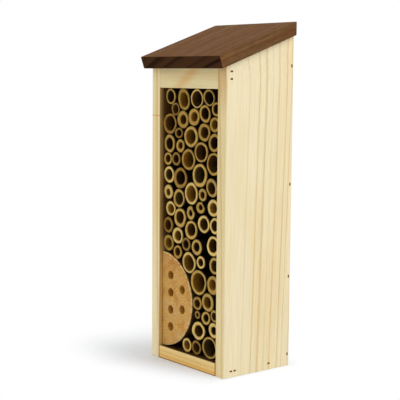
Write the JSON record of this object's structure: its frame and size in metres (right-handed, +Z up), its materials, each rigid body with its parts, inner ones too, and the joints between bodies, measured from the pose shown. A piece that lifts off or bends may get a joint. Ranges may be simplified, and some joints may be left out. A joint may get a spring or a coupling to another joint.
{
  "type": "bee house",
  "caption": "Tall narrow wooden bee house with a pitched roof, its open front packed with hollow canes and a drilled half log for nesting.",
  "frame": {"origin": "middle of the base, between the two side panels and between their front and rear edges", "axes": "+Z up, the open front faces -Y and the rear panel faces +Y, +X to the right seen from the front"},
  "size_m": [0.109, 0.0857, 0.3004],
  "materials": {
    "pine": "planed, unfinished",
    "back_ply": "sanded, unfinished",
    "stained_roof": "dark stain",
    "log_wood": "sawn end grain",
    "bamboo": "cut cane",
    "nail_steel": "rusted"
  },
  "bodies": {
    "root": {"left_side_panel": "pine", "right_side_panel": "pine", "back_panel": "back_ply", "floor_board": "pine", "front_lintel": "pine", "roof_board": "stained_roof", "drilled_half_log": "log_wood", "brad_nails": "nail_steel", "cane_01": "bamboo", "cane_02": "bamboo", "cane_03": "bamboo", "cane_04": "bamboo", "cane_05": "bamboo", "cane_06": "bamboo", "cane_07": "bamboo", "cane_08": "bamboo", "cane_09": "bamboo", "cane_10": "bamboo", "cane_11": "bamboo", "cane_12": "bamboo", "cane_13": "bamboo", "cane_14": "bamboo", "cane_15": "bamboo", "cane_16": "bamboo", "cane_17": "bamboo", "cane_18": "bamboo", "cane_19": "bamboo", "cane_20": "bamboo", "cane_21": "bamboo", "cane_22": "bamboo", "cane_23": "bamboo", "cane_24": "bamboo", "cane_25": "bamboo", "cane_26": "bamboo", "cane_27": "bamboo", "cane_28": "bamboo", "cane_29": "bamboo", "cane_30": "bamboo", "cane_31": "bamboo", "cane_32": "bamboo", "cane_33": "bamboo", "cane_34": "bamboo", "cane_35": "bamboo", "cane_36": "bamboo", "cane_37": "bamboo", "cane_38": "bamboo", "cane_39": "bamboo", "cane_40": "bamboo", "cane_41": "bamboo", "cane_42": "bamboo", "cane_43": "bamboo", "cane_44": "bamboo", "cane_45": "bamboo", "thin_canes_lower": "bamboo", "thin_canes_middle": "bamboo", "thin_canes_upper": "bamboo"}
  },
  "joints": []
}
